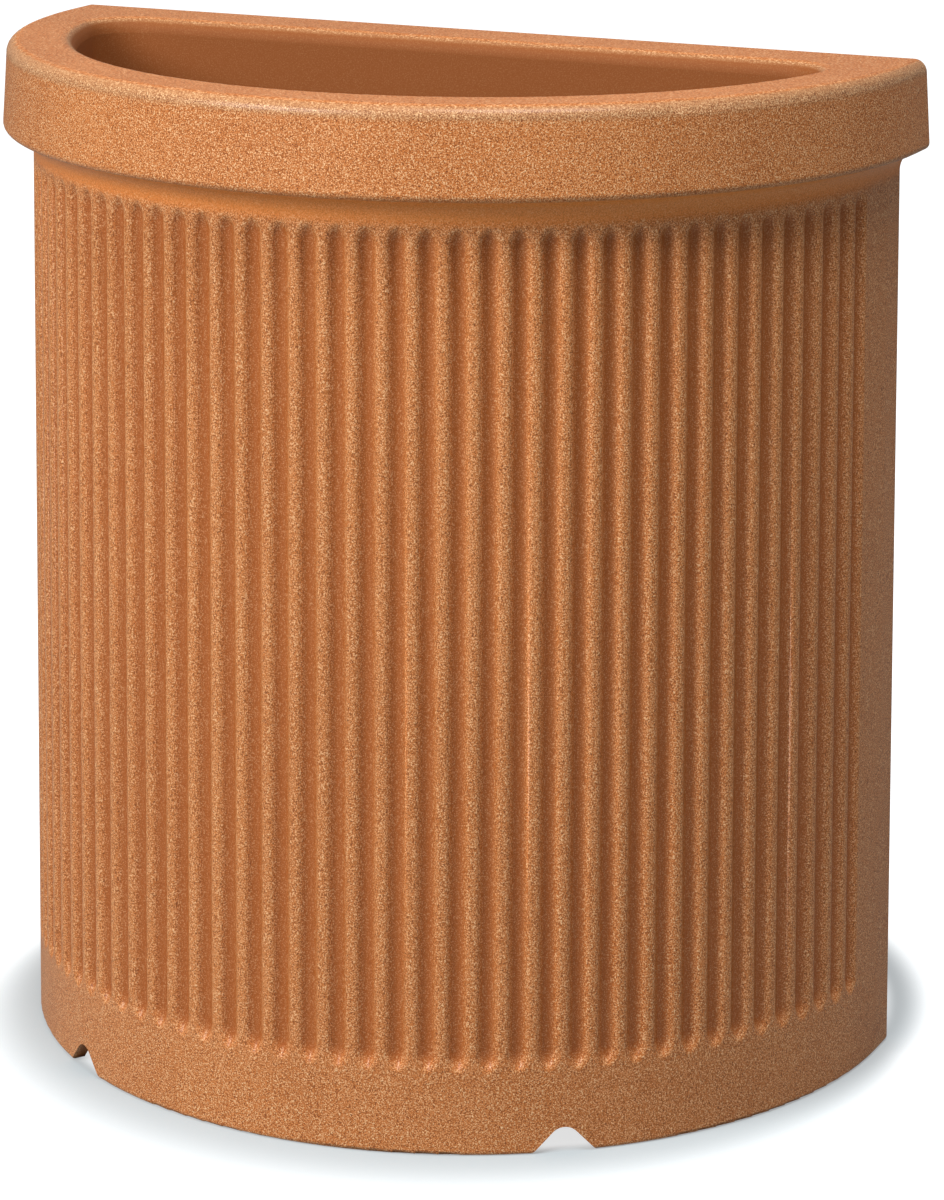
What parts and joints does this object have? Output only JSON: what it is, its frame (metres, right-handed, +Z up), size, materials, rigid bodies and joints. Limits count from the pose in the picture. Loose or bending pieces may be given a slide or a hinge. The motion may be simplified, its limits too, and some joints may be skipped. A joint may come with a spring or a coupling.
{
  "type": "half-round wall planter",
  "caption": "Half-round fluted planter with a flat back, thick rolled rim, raised drained floor, lift-out soil grid and drain plugs.",
  "frame": {"origin": "centre of the bounding box's footprint, on the ground", "axes": "+X to the planter's width, -Y to the bowed front, +Y to the flat back, +Z up"},
  "size_m": [0.5, 0.2699, 0.54],
  "materials": {
    "terracotta_plastic": "sand-textured, speckled terracotta orange",
    "grid_plastic": "moulded, black",
    "feet_plastic": "moulded, black",
    "plug_rubber": "smooth black rubber",
    "vent_plastic": "moulded, dark brown"
  },
  "bodies": {
    "shell": {"planter_shell": "terracotta_plastic", "vent_plug": "vent_plastic"},
    "grid": {"soil_grid": "grid_plastic", "grid_feet": "feet_plastic"},
    "plug_left": {"drain_plug_left": "plug_rubber"},
    "plug_centre": {"drain_plug_centre": "plug_rubber"},
    "plug_right": {"drain_plug_right": "plug_rubber"}
  },
  "joints": [
    {"name": "soil_grid_lift", "type": "slide", "parent": "shell", "child": "grid", "axis": [0, 0, 1], "range_m": [0, 0.52]},
    {"name": "drain_plug_left_pull", "type": "slide", "parent": "shell", "child": "plug_left", "axis": [0, 0, 1], "range_m": [0, 0.012]},
    {"name": "drain_plug_centre_pull", "type": "slide", "parent": "shell", "child": "plug_centre", "axis": [0, 0, 1], "range_m": [0, 0.012]},
    {"name": "drain_plug_right_pull", "type": "slide", "parent": "shell", "child": "plug_right", "axis": [0, 0, 1], "range_m": [0, 0.012]}
  ]
}
